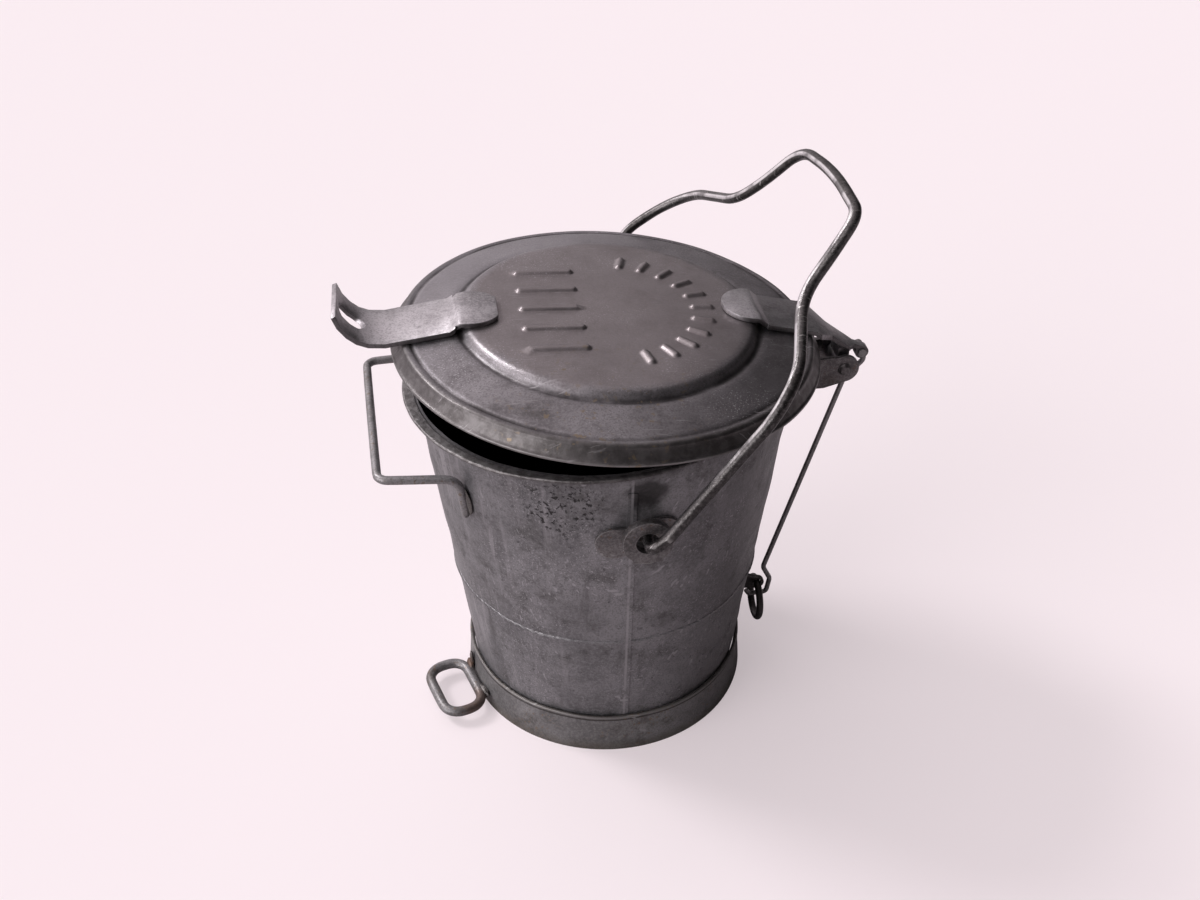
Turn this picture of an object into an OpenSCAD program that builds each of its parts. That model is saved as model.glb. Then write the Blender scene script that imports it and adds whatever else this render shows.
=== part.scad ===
/* [Body] */
// Height of the middle of the mouth above the floor
mouth_h = 398.5; // [300:1:480]
// Outer radius of the wall carried down to the floor
wall_foot_r = 142.4; // [110:0.1:175]
// How much the wall's radius grows for each millimetre of height
wall_flare = 0.1188; // [0.05:0.0001:0.16]
// Thickness of the galvanised sheet
sheet = 1.4; // [1:0.1:2.5]
// Slope of the mouth, lower at the front
mouth_slope = 4.5; // [0:0.1:7]
// How far the flat collar stands out beyond the wall
collar_w = 6.26; // [4:0.01:14]
// How far the collar is pushed forward at the front
collar_shift = 4.5; // [0:0.5:8]
// Radius of the rolled edge of the collar
collar_bead = 2; // [1:0.1:4]
// Height of the swage line pressed into the wall
swage_h = 166; // [100:1:280]
// Width of the lapped seams up the wall
seam_w = 9; // [4:0.5:16]

/* [Foot] */
// Height of the foot ring
foot_h = 47; // [25:1:80]
// How far the foot ring stands out beyond the wall on the floor
foot_out = 12.6; // [8:0.1:24]
// Thickness of the foot ring
foot_t = 2.4; // [1.5:0.1:4]
// Height of the bottom plate above the floor
bottom_h = 15; // [6:1:40]

/* [Lid] */
// How far the lid's hem stands out beyond the collar
hem_out = 14; // [10:0.5:24]
// How far the lid's shoulder lies inside its hem
shoulder_in = 9.5; // [6:0.5:16]
// Height of the sloping skirt
skirt_h = 17.5; // [8:0.5:28]
// Height of the cone between the shoulder and the raised middle
cone_h = 9; // [4:0.5:16]
// Radius of the raised middle
plateau_r = 140; // [100:1:165]
// Height of the step up to the raised middle
step_h = 8; // [3:0.5:14]
// How far the lid sits forward of the middle when it is shut
lid_shift = 2; // [0:0.5:6]
// Angle by which the lid stands ajar
lid_ajar = 8.3; // [4:0.1:12]
// Length of the pressed bars in the front half of the lid
bar_len = 62; // [30:1:80]
// Pitch of the pressed bars
bar_pitch = 36; // [24:1:40]
// Height of the pressed ribs and bars
emboss_h = 3.6; // [1:0.1:5]

/* [Straps] */
// Thickness of the forged straps
strap_t = 5; // [3:0.5:8]
// Width of the front strap
tongue_w = 64; // [40:1:80]
// Width of the hinge strap on the lid
strap_w = 60; // [40:1:80]
// Width of the slot in the end of the front strap
slot_w = 20; // [8:0.5:24]

/* [Hinge] */
// Distance of the hinge pin beyond the lid's hem
pin_out = 32; // [24:0.5:48]
// How far the hinge pin lies below the mouth
pin_drop = 22.5; // [14:0.5:40]
// Diameter of the hinge pin
pin_d = 8; // [5:0.5:12]
// Space between the two hinge ears
ear_gap = 33; // [24:1:50]
// Thickness of a hinge ear
ear_t = 5; // [3:0.5:8]
// Radial clearance round the hinge pin and the rod
bore_gap = 0.08; // [0.05:0.01:0.1]

/* [Bail] */
// Diameter of the bail wire
bail_d = 11.5; // [6:0.5:14]
// Angle by which the bail leans back
bail_lean = 35.8; // [20:0.1:50]
// How far the bail's pivot lies below the mouth
eye_drop = 71.5; // [55:0.5:120]
// How far the middle of a bail eye stands off the wall
eye_off = 18.8; // [12:0.1:30]
// Inner diameter of a bail eye
eye_hole = 23; // [14:0.5:30]
// Outer diameter of a bail eye
eye_od = 47; // [30:0.5:56]

/* [Rod] */
// Diameter of the pull rod
rod_d = 5.6; // [4:0.1:8]
// Diameter of the ring's wire
ring_wire = 8; // [5:0.5:10]
// Outer diameter of the ring
ring_od = 54; // [44:0.5:64]

/* [Grips] */
// Diameter of the front handle's wire
handle_d = 9; // [5:0.5:12]
// How far the front handle lies below the mouth
handle_drop = 48.5; // [36:0.5:100]
// Reach of the front handle from the wall
handle_out = 54; // [35:1:80]
// Diameter of the foot grip's bar
grip_d = 11.5; // [6:0.5:14]

/* [Hidden] */
lid_lift = sheet + 0.8;
seat = 0.3;          // gap between a fitting and the sheet that it is soldered to
big = 900;           // size of a cutting block
eye_x = 12.3;        // the bail's pivot stands a little behind the middle
steel = "#6a6768";
dark = "#3f3c3b";
$fn = 96;

function wall_r(z) = wall_foot_r + wall_flare * z;
collar_r = wall_r(mouth_h) + collar_w;
foot_r = wall_foot_r + foot_out;
hem_r = collar_r + hem_out;
shoulder_r = hem_r - shoulder_in;
pin_x = hem_r + pin_out;
pin_z = mouth_h - pin_drop;
eye_z = mouth_h - eye_drop;
eye_y = wall_r(eye_z) + eye_off;
handle_z = mouth_h - handle_drop;
handle_x = wall_r(handle_z) + handle_out;
function unit(v) = v / norm(v);

// ---- helpers -------------------------------------------------------------

// Solid cone that follows the outside of the wall, grown by "out".
module wall_cone(out, low = -20, high = 520) {
    translate([0, 0, low])
        cylinder(h = high - low, r1 = wall_r(low) + out, r2 = wall_r(high) + out, $fn = 180);
}

// Children cut to a plate that hugs the wall, t thick.
module on_wall(t) {
    difference() {
        intersection() {
            children();
            wall_cone(seat + t);
        }
        wall_cone(seat);
    }
}

// Children cut back to the outside of the wall.
module off_wall() {
    difference() {
        children();
        wall_cone(seat);
    }
}

// A frame on the plane of the mouth.
module on_mouth() {
    translate([0, 0, mouth_h]) rotate([0, -mouth_slope, 0]) children();
}

// The lid's own frame, at its place with the lid ajar.
module on_lid() {
    translate([pin_x, 0, pin_z]) rotate([0, lid_ajar, 0]) translate([-pin_x, 0, -pin_z])
        on_mouth() translate([-lid_shift, 0, lid_lift]) children();
}

// Point [x, z] turned about the pivot c by angle a, as rotate([0, a, 0]) turns it.
function turned(p, a, c = [0, 0]) =
    c + [(p[0] - c[0]) * cos(a) + (p[1] - c[1]) * sin(a),
         (p[1] - c[1]) * cos(a) - (p[0] - c[0]) * sin(a)];

// Where the lid's point [x, z] lies with the lid ajar.
function at_lid(x, z) = turned([0, mouth_h]
    + turned([x - lid_shift, z + lid_lift], -mouth_slope), lid_ajar, [pin_x, pin_z]);

// Points round a bend of radius r at corner b, coming from a and leaving to c.
function bend(a, b, c, r, n) =
    let (u = unit(a - b), w = unit(c - b), h = acos(max(-1, min(1, u * w))) / 2,
         t = r / tan(h), m = b + unit(u + w) * (r / sin(h)), p = b + u * t, q = b + w * t)
    [for (i = [0 : n]) let (k = i / n) m + unit((p - m) * sin((1 - k) * (180 - 2 * h))
        + (q - m) * sin(k * (180 - 2 * h))) * r];

// A route with each inner corner rounded.
function rounded(p, r, n = 5) =
    [p[0], for (i = [1 : len(p) - 2]) each bend(p[i - 1], p[i], p[i + 1], r[i], n), p[len(p) - 1]];

// Frames carried along a route without twisting.
function frames(p, i = 0, x = [1, 0, 0]) =
    let (n = len(p), t = unit(p[min(i + 1, n - 1)] - p[max(i - 1, 0)]), y = unit(cross(t, x)),
         z = cross(y, t))
    i == n - 1 ? [[z, y]] : concat([[z, y]], frames(p, i + 1, z));

// Round wire swept along a route.
module wire(p, d, start, sides = 12) {
    f = frames(p, 0, start);
    n = len(p);
    pts = [for (i = [0 : n - 1]) for (k = [0 : sides - 1])
        p[i] + (f[i][0] * cos(360 * k / sides) + f[i][1] * sin(360 * k / sides)) * d / 2];
    quads = [for (i = [0 : n - 2]) for (k = [0 : sides - 1])
        [(i + 1) * sides + k, (i + 1) * sides + (k + 1) % sides, i * sides + (k + 1) % sides,
         i * sides + k]];
    polyhedron(pts, concat(quads, [[for (k = [0 : sides - 1]) k]],
        [[for (k = [0 : sides - 1]) n * sides - 1 - k]]));
}

// ---- body ----------------------------------------------------------------

bead_r = 2;
seam_t = 0.9;
seam_angle = atan(wall_flare);

// A lapped seam up the wall at +X, from the foot ring to the collar, grown by "grow".
module seam(grow = 0) {
    translate([wall_r(0), 0, 0]) rotate([0, seam_angle, 0])
        translate([-1, -seam_w / 2 - grow, foot_h + 1 - grow])
            cube([1 + seam_t + grow, seam_w + 2 * grow, mouth_h - foot_h - 24 + 2 * grow]);
}

module seams(grow = 0) for (a = [-90, 90]) rotate([0, 0, a]) seam(grow);

module body_shell() color(steel) difference() {
    union() {
        difference() {
            union() {
                wall_cone(0, 4, mouth_h + 61.5);
                seams();
            }
            on_mouth() translate([-big / 2, -big / 2, 0]) cube([big, big, 200]);
        }
        on_mouth() translate([-collar_shift, 0, 0]) rotate_extrude($fn = 180) union() {
            translate([collar_r - 25, -sheet]) square([25 - collar_bead, sheet]);
            translate([collar_r - collar_bead, -collar_bead]) circle(r = collar_bead, $fn = 24);
        }
        translate([0, 0, swage_h]) rotate_extrude($fn = 180)
            translate([wall_r(swage_h) - 0.6, 0]) circle(r = bead_r, $fn = 24);
    }
    wall_cone(-sheet);
}

module bottom_plate() color(dark) difference() {
    wall_cone(-sheet - seat, 4, bottom_h);
    wall_cone(-2 * sheet - seat, 0, bottom_h - sheet);
}

foot_top_r = wall_r(foot_h) + seat + foot_t;

module foot_ring() color(dark) union() {
    rotate_extrude($fn = 180) polygon([[foot_r - foot_t, 0], [foot_r, 0],
        [foot_top_r + bead_r / 2, foot_h - bead_r], [foot_top_r - foot_t, foot_h - bead_r]]);
    translate([0, 0, foot_h - bead_r]) rotate_extrude($fn = 180)
        translate([foot_top_r - foot_t + bead_r + 0.3, 0]) circle(r = bead_r, $fn = 24);
}

// ---- bail and its ears ---------------------------------------------------

eye_t = 8;
pad_t = 4;

// One forged ear: a two-lobed plate on the wall and an eye that stands off it.
module bail_ear() difference() {
    union() {
        on_wall(pad_t) rotate([90, 0, 0]) linear_extrude(height = 300) union() {
            translate([eye_x - 27, eye_z - 15]) circle(r = 19);
            translate([eye_x + 14, eye_z - 9]) circle(r = 21);
            translate([eye_x - 27, eye_z - 30]) square([41, 34]);
        }
        translate([eye_x, -eye_y, eye_z]) rotate([90, 0, 0])
            cylinder(h = eye_t, d = eye_od, center = true);
        off_wall() translate([eye_x - 14, -eye_y - eye_t / 2, eye_z - eye_od / 2 + 1])
            cube([28, 50, 9]);
    }
    translate([eye_x, -eye_y, eye_z]) rotate([90, 0, 0])
        cylinder(h = 2 * eye_t, d = eye_hole, center = true);
    seams(seat);
}

module bail_ear_near() color(dark) bail_ear();
module bail_ear_far() color(dark) mirror([0, 1, 0]) bail_ear();

arm_y = eye_y + 14;  // distance of the arms from the middle plane
arm_off = 7;         // the arms pass behind the pivot
hook_in = 24;        // how far a hook reaches in through its eye

// A place on the bail: y across, s up along it, and w forward of its plane.
function on_bail(y, s, w = 0) =
    [eye_x + arm_off + s * sin(bail_lean) - w * cos(bail_lean), y,
     eye_z + s * cos(bail_lean) + w * sin(bail_lean)];

bail_route = [[eye_x, hook_in - arm_y, eye_z], [eye_x, -arm_y, eye_z], on_bail(-arm_y, 14),
    on_bail(-arm_y, 168), on_bail(18 - arm_y, 206), on_bail(-118, 240), on_bail(-109, 290),
    on_bail(-100, 324), on_bail(-20, 326), on_bail(58, 312), on_bail(79, 262),
    on_bail(104, 224), on_bail(arm_y - 24, 184), on_bail(arm_y - 1, 146, 12),
    on_bail(arm_y, 92, 32), on_bail(arm_y, 14), [eye_x, arm_y, eye_z],
    [eye_x, arm_y - hook_in, eye_z]];
hook_bend = bail_d / 2 + 0.4;
bail_bends = [0, hook_bend, 8, 60, 58, 34, 60, 34, 120, 38, 120, 60, 60, 60, 60, 8, hook_bend, 0];

module bail() color(dark) wire(rounded(bail_route, bail_bends, 7), bail_d, [1, 0, 0]);

// ---- hinge ---------------------------------------------------------------

ear_r = 15;
ear_drop = 21;

// One hinge ear: a plate that carries the pin, with a foot bent along the wall.
module hinge_ear(side) difference() {
    union() {
        off_wall() translate([0, side * (ear_gap + ear_t) / 2 + ear_t / 2, 0])
            rotate([90, 0, 0]) linear_extrude(height = ear_t) union() {
                translate([pin_x, pin_z]) circle(r = ear_r);
                polygon([[wall_r(pin_z) - 30, pin_z - ear_drop], [pin_x - 20, pin_z - ear_drop],
                    [pin_x + 4, pin_z - 14.4], [pin_x, pin_z + ear_r - 2],
                    [pin_x - 14, pin_z + ear_r - 1], [wall_r(pin_z) - 30, pin_z + ear_r - 3]]);
            }
        on_wall(3.5) translate([100, side > 0 ? ear_gap / 2 : -ear_gap / 2 - 26,
            pin_z - ear_drop]) cube([120, 26, ear_drop + ear_r - 3]);
    }
    translate([pin_x, 0, pin_z]) rotate([90, 0, 0])
        cylinder(h = 2 * ear_gap, d = pin_d + 2 * bore_gap, center = true);
}

module hinge_ear_near() color(dark) hinge_ear(-1);
module hinge_ear_far() color(dark) hinge_ear(1);

head_t = 3;
pin_len = ear_gap + 2 * ear_t + 0.6;

module hinge_pin() color(dark) translate([pin_x, 0, pin_z]) rotate([90, 0, 0]) union() {
    cylinder(h = pin_len, d = pin_d, center = true);
    for (m = [0, 1]) mirror([0, 0, m]) translate([0, 0, pin_len / 2])
        cylinder(h = head_t, r1 = pin_d * 0.85, r2 = pin_d * 0.55);
}

// ---- lid -----------------------------------------------------------------

cone_r = plateau_r + 7;
hem_edge = 2.2;      // width of the turned-out hem

dome = 3;            // the raised middle is slightly domed
dome_r = 60;

// Height of the raised middle's surface at radius r.
function dome_z(r) = cone_h + step_h + dome * (r < dome_r ? 1 - 0.2 * r / dome_r
    : 0.8 * (plateau_r - 3 - r) / (plateau_r - 3 - dome_r));

// Half section of the lid's sheet.
module lid_section() {
    polygon([[0, cone_h + step_h + dome], [dome_r, dome_z(dome_r)],
        [plateau_r - 3, cone_h + step_h], [plateau_r, cone_h + step_h - 1.5],
        [cone_r - 2, cone_h + 1], [cone_r + 2, cone_h], [shoulder_r - 3, 0.7],
        [shoulder_r, -1], [hem_r - hem_edge, 1.5 - skirt_h], [hem_r, 1.5 - skirt_h],
        [hem_r, -skirt_h], [hem_r - hem_edge - sheet, -skirt_h],
        [shoulder_r - sheet, -1 - sheet * 0.6], [shoulder_r - 3 - sheet * 0.4, 0.7 - sheet],
        [cone_r + 2, cone_h - sheet], [cone_r - 2 - sheet, cone_h + 1 - sheet * 0.6],
        [plateau_r - sheet, cone_h + step_h - 1.5 - sheet * 0.6],
        [plateau_r - 3 - sheet * 0.4, cone_h + step_h - sheet],
        [dome_r, dome_z(dome_r) - sheet], [0, cone_h + step_h + dome - sheet]]);
}

bar_x = 83 - plateau_r;
rib_r = plateau_r - 48;
rib_n = 11;
bar_sunk = 0.6;      // the foot of a bar lies a little inside the sheet

// A pressed bar with round ends, lying along X.
module pressed_bar(l, w) {
    translate([-l / 2, 0, 0]) cylinder(h = emboss_h, d1 = w, d2 = w * 0.55, $fn = 24);
    translate([l / 2, 0, 0]) cylinder(h = emboss_h, d1 = w, d2 = w * 0.55, $fn = 24);
    rotate([90, 0, 90]) translate([0, 0, -l / 2]) linear_extrude(height = l)
        polygon([[-w / 2, 0], [w / 2, 0], [w * 0.275, emboss_h], [-w * 0.275, emboss_h]]);
}

module lid_shell() color("#77737a") on_lid() union() {
    rotate_extrude($fn = 180) lid_section();
    for (i = [-2 : 2]) translate([bar_x, i * bar_pitch,
        dome_z(norm([bar_x, i * bar_pitch])) - bar_sunk]) pressed_bar(bar_len - 11, 11);
    for (i = [0 : rib_n - 1]) rotate([0, 0, -75 + 150 * i / (rib_n - 1)])
        translate([rib_r, 0, dome_z(rib_r) - bar_sunk]) pressed_bar(16, 9);
}

// ---- straps --------------------------------------------------------------

// Plate of thickness t that follows a side outline of points, w wide.
module strap_plate(line, t, w) rotate([90, 0, 0]) translate([0, 0, -w / 2])
    linear_extrude(height = w) polygon(concat(line,
        [for (i = [len(line) - 1 : -1 : 0]) line[i] + unit(normal(line, i)) * t]));
function normal(p, i) =
    let (v = unit(p[min(i + 1, len(p) - 1)] - p[max(i - 1, 0)])) [-v[1], v[0]];

top_h = cone_h + step_h;
step_at = cone_r + 4;

tip_x = -hem_r - 20; // where the front strap starts to turn up
slot_run = 33.5 - slot_w; // between the slot's round ends, so that its tip stays closed
strap_run = shoulder_r - step_at - 2;
// Height of the front strap over the shoulder, so that it clears the cone's lower edge.
strap_rest = max(seat, (0.88 - 3 * (cone_h + 0.6) / strap_run) / (1 - 3 / strap_run));

module front_tongue() color("#6f6c72") on_lid() intersection() {
    strap_plate([[32 - plateau_r, top_h + 1.5], [-plateau_r + 2, top_h + seat], [-plateau_r - 3, top_h],
        [-step_at - 2, cone_h + 0.6], [-shoulder_r, strap_rest], [-hem_r - 4, -2.5], [tip_x, -2],
        [tip_x - 11, 2], [tip_x - 20, 9], [tip_x - 28, 19], [tip_x - 33, 31]], -strap_t, 90);
    difference() {
        linear_extrude(height = 200, center = true) union() {
            translate([6 - plateau_r, 0]) circle(d = tongue_w - 2);
            translate([tip_x - 50, -tongue_w / 2]) square([48 - tip_x - cone_r, tongue_w]);
        }
        translate([tip_x - 21.6, 0, 10]) rotate([0, 50, 0]) hull() for (s = [-1, 1])
            translate([s * slot_run / 2, 0, 0]) cylinder(h = 60, d = slot_w, center = true, $fn = 32);
    }
}

// Places round the hinge, in the plane of the swing, with the lid ajar.
strap_top = pin_z + 18;
lug_r = 10.5;
rod_x = pin_x + 22;
rod_z = pin_z + 8;
lug_w = 10;

tab_x = at_lid(plateau_r + 2, top_h)[0];   // middle of the strap's round end on the lid
neck_x = pin_x - 14;
neck_half = ear_gap / 2 - 2.5;

// The hinge strap seen from above, wide on the lid and narrow between the ears.
module strap_outline() union() {
    translate([tab_x, 0]) circle(d = strap_w);
    polygon([[tab_x + 10, -strap_w / 2], [pin_x - 30, -strap_w / 2], [neck_x, -neck_half],
        [pin_x + 5, -neck_half], [rod_x - 9, -lug_w / 2], [rod_x + 20, -lug_w / 2],
        [rod_x + 20, lug_w / 2], [rod_x - 9, lug_w / 2], [pin_x + 5, neck_half],
        [neck_x, neck_half], [pin_x - 30, strap_w / 2], [tab_x + 10, strap_w / 2]]);
}

module hinge_strap() color(dark) difference() {
    union() {
        intersection() {
            strap_plate([[rod_x, rod_z + 2], [pin_x + 2, strap_top],
                [pin_x - 16, strap_top + 14], at_lid(shoulder_r + 1, seat + 1),
                at_lid(step_at + 2, cone_h + 0.6), at_lid(plateau_r + 3, top_h),
                at_lid(plateau_r - 2, top_h + seat), at_lid(plateau_r - 28, top_h + 1.2)],
                -strap_t, 90);
            linear_extrude(height = 600) strap_outline();
        }
        translate([pin_x, 0, pin_z]) rotate([90, 0, 0])
            cylinder(h = ear_gap - 2, r = lug_r, center = true);
        translate([pin_x - 6, 2 - ear_gap / 2 + 2, pin_z]) cube([12, ear_gap - 8, 20]);
        translate([rod_x, 0, rod_z]) rotate([90, 0, 0]) cylinder(h = lug_w, r = 7, center = true);
    }
    translate([pin_x, 0, pin_z]) rotate([90, 0, 0])
        cylinder(h = 2 * ear_gap, d = pin_d + 2 * bore_gap, center = true);
    translate([rod_x, 0, rod_z]) rotate([90, 0, 0])
        cylinder(h = 2 * lug_w, d = rod_d + 2 * bore_gap, center = true);
}

// ---- rod, ring and bracket -----------------------------------------------

boss_w = rod_d + 1.4;
rod_y = lug_w / 2 + 0.4 + boss_w / 2;
pin_head_t = 2;
ring_top = 80;       // middle of the ring's wire where the bracket holds it
ring_x = wall_r(ring_top) + 24.1;
hook_x = ring_x + 12;    // the rod's lower hook passes outside the ring
hook_z = ring_top - ring_wire - 8.5;
ring_r = (ring_od - ring_wire) / 2;

// The rod's upper end is forged to a boss with a cross pin through the strap's lug.
module rod_pin() translate([rod_x, 0, rod_z]) rotate([-90, 0, 0]) union() {
    translate([0, 0, rod_y - boss_w / 2]) cylinder(h = boss_w, d = rod_d + 5);
    translate([0, 0, -lug_w / 2 - 0.4]) cylinder(h = rod_y + lug_w / 2, d = rod_d);
    translate([0, 0, -lug_w / 2 - 0.4 - pin_head_t]) cylinder(h = pin_head_t, d = rod_d + 3);
}

module pull_rod() color(dark) union() {
    rod_pin();
    wire(rounded([[rod_x, rod_y, rod_z], [rod_x + 9, rod_y, rod_z - 16],
        [rod_x - 11, rod_y, rod_z - 38], [hook_x - 6, 0, hook_z + 38],
        [hook_x + 3, 0, hook_z + 20], [hook_x, 0, hook_z], [hook_x - 20, 0, hook_z - 1],
        [hook_x - 23.5, 0, hook_z + 4.5]], [0, 8, 14, 10, 8, 5, 3.2, 0]), rod_d, [0, 1, 0]);
}

module pull_ring() color(dark) translate([ring_x, 0, ring_top - ring_r]) rotate([0, 90, 0])
    rotate_extrude($fn = 64) translate([ring_r, 0]) circle(d = ring_wire, $fn = 24);

tab_t = 5;
tab_hole = ring_wire + 1.4;

// The bracket is a pad on the wall with a tab that the ring hangs from.
module ring_bracket() color(dark) difference() {
    union() {
        on_wall(3) translate([100, -11, ring_top - 8]) cube([100, 22, 30]);
        off_wall() rotate([90, 0, 0]) linear_extrude(height = tab_t, center = true) union() {
            translate([ring_x, ring_top]) circle(d = tab_hole + 7);
            polygon([[ring_x - 36, ring_top - 4], [ring_x, ring_top - tab_hole / 2 - 3.5],
                [ring_x + 4, ring_top + 7], [ring_x - 36, ring_top + 20]]);
        }
    }
    translate([ring_x, 0, ring_top]) rotate([90, 0, 0])
        cylinder(h = 4 * tab_t, d = tab_hole, center = true);
}

// ---- grips ---------------------------------------------------------------

handle_half = 103;
foot_len = 52;       // length of a handle's end that lies down the wall

// Where a wire of diameter d touches the wall, at angle a and height z.
function at_wall(a, z, d) = [cos(a), sin(a), 0] * (wall_r(z) + seat + d / 2 + 0.1)
    + [0, 0, z];

function handle_end(side) = let (a = 180 + side * 36)
    [at_wall(a, handle_z - foot_len, handle_d), at_wall(a, handle_z - 2, handle_d)];

module front_handle() color("#7b787c") wire(rounded(concat(handle_end(1),
    [[10 - handle_x, -handle_half - 3, handle_z], [-handle_x, handle_half, handle_z]],
    [handle_end(-1)[1], handle_end(-1)[0]]), [0, 16, 12, 12, 16, 0]), handle_d, [0, 1, 0]);

grip_turn = 17;
grip_z = 14;
grip_half = 37;
grip_out = 43.5;       // from the link's inner side to its outer side
grip_bend = 18;

// A closed link, soldered by its inner side to the foot ring.
module foot_grip() color("#7b787c") rotate([0, 0, grip_turn]) translate([0, 0, grip_z]) {
    lean = (foot_r - foot_top_r - bead_r / 2) / (foot_h - bead_r);
    x0 = foot_r - lean * (grip_z - grip_d / 2) + seat + grip_d / 2;
    half = [[-x0, 0.5, 0], [-x0, -grip_half, 0], [-x0 - grip_out, -grip_half, 0],
        [-x0 - grip_out, 0.5, 0]];
    for (m = [0, 1]) mirror([0, m, 0])
        wire(rounded(half, [0, grip_bend, grip_bend, 0]), grip_d, [0, 0, 1]);
}

body_shell();
bottom_plate();
foot_ring();
bail_ear_near();
bail_ear_far();
bail();
hinge_ear_near();
hinge_ear_far();
hinge_pin();
lid_shell();
front_tongue();
hinge_strap();
pull_rod();
pull_ring();
ring_bracket();
front_handle();
foot_grip();
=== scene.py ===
import math

import bmesh
import bpy
from mathutils import Matrix, Vector, noise


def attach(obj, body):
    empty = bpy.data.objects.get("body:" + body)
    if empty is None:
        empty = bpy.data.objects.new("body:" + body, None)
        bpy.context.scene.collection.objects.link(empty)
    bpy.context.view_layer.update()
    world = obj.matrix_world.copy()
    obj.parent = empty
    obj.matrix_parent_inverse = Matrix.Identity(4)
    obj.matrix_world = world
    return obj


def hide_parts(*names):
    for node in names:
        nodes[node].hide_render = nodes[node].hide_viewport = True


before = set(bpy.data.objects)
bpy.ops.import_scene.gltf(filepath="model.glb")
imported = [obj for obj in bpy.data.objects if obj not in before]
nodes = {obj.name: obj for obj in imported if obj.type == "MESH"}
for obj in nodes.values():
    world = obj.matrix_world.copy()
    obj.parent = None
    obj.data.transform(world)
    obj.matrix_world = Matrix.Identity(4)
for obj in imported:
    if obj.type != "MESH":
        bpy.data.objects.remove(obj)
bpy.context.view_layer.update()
MM = 0.001


# ---- Room and camera -----------------------------------------------------
# The bucket stands on a pale pink paper floor that runs on as the
# background. The room is bright at the left and dark at the right, with a
# lamp high at the back left and a low soft one at the front left.

floor_pink = (0.947, 0.847, 0.880, 1.0)
paper_grey = (0.461, 0.413, 0.428, 1.0)
sky_tint, lamp_tint = (1.0, 0.965, 0.985, 1.0), (1.0, 0.98, 0.99)
view_azimuth = -0.135
view_elevation = 0.635
view_roll = -0.004
view_distance = 1.405
view_target = Vector((-0.0039, 0.0005, 0.2848))
lens_mm, sensor_mm = 40.53, 36.0
room_dim, room_bright = 0.02, 1.25
paper_shine = 0.480
paper_half = 20.0

back = Vector((
    math.sin(view_azimuth) * math.cos(view_elevation),
    -math.cos(view_azimuth) * math.cos(view_elevation),
    math.sin(view_elevation),
))
across = Vector((math.cos(view_azimuth), math.sin(view_azimuth), 0.0))
facing = Matrix((across, back.cross(across), back)).transposed().to_4x4()
camera = bpy.data.objects.new("camera", bpy.data.cameras.new("camera"))
camera.data.lens = lens_mm
camera.data.sensor_width = sensor_mm
camera.data.clip_end = 50.0
camera.matrix_world = (
    Matrix.Translation(view_target + back * view_distance)
    @ facing @ Matrix.Rotation(view_roll, 4, "Z")
)
bpy.context.scene.collection.objects.link(camera)
bpy.context.scene.camera = camera
bpy.context.scene.view_settings.view_transform = "Standard"


def add(tree, kind, **values):
    """A node of that kind, with its properties and its sockets' values set."""
    node = tree.nodes.new(kind)
    for name, value in values.items():
        if hasattr(node, name):
            setattr(node, name, value)
        else:
            node.inputs[name.replace("_", " ")].default_value = value
    return node


def feed(tree, socket, value):
    """Sets a socket to a number or a colour, or joins it to an output."""
    if isinstance(value, (int, float, tuple)):
        socket.default_value = value
    else:
        tree.links.new(value, socket)


def calc(tree, operation, a, b=0.0):
    node = add(tree, "ShaderNodeMath", operation=operation)
    feed(tree, node.inputs[0], a)
    feed(tree, node.inputs[1], b)
    return node.outputs[0]


def ramp(tree, value, low, high, start=0.0, end=1.0):
    """Start below low, end above high, and smooth between."""
    node = add(tree, "ShaderNodeMapRange", interpolation_type="SMOOTHSTEP")
    for name, v in (("Value", value), ("From Min", low), ("From Max", high),
                    ("To Min", start), ("To Max", end)):
        feed(tree, node.inputs[name], v)
    return node.outputs["Result"]


world = bpy.data.worlds.new("room")
bpy.context.scene.world = world
world.use_nodes = True
room = world.node_tree
room.nodes.clear()
bright_side = (-0.78, 0.36, 0.42)
ray = add(room, "ShaderNodeLightPath")
toward = add(room, "ShaderNodeVectorMath", operation="DOT_PRODUCT")
room.links.new(add(room, "ShaderNodeTexCoord").outputs["Generated"], toward.inputs[0])
toward.inputs[1].default_value = bright_side
falloff = ramp(room, toward.outputs["Value"], -0.16, 0.95, room_dim, room_bright)
lighting = add(room, "ShaderNodeBackground", Color=sky_tint)
feed(room, lighting.inputs["Strength"], falloff)
seen = add(room, "ShaderNodeBackground", Color=floor_pink)
plain = add(room, "ShaderNodeMix", data_type="FLOAT")
feed(room, plain.inputs[0], ray.outputs["Is Camera Ray"])
feed(room, plain.inputs[2], falloff)
plain.inputs[3].default_value = 1.0
feed(room, seen.inputs["Strength"], plain.outputs[0])
shown = calc(room, "MAXIMUM", ray.outputs["Is Camera Ray"],
             calc(room, "MAXIMUM", ray.outputs["Is Glossy Ray"],
                  ray.outputs["Is Transmission Ray"]))
room_mix = add(room, "ShaderNodeMixShader")
for i, output in enumerate((shown, lighting.outputs[0], seen.outputs[0])):
    room.links.new(output, room_mix.inputs[i])
room.links.new(room_mix.outputs[0], add(room, "ShaderNodeOutputWorld").inputs["Surface"])

bm = bmesh.new()
bmesh.ops.create_grid(bm, x_segments=1, y_segments=1, size=paper_half)
floor_mesh = bpy.data.meshes.new("floor")
bm.to_mesh(floor_mesh)
bm.free()
floor = bpy.data.objects.new("floor", floor_mesh)
bpy.context.scene.collection.objects.link(floor)

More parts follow.
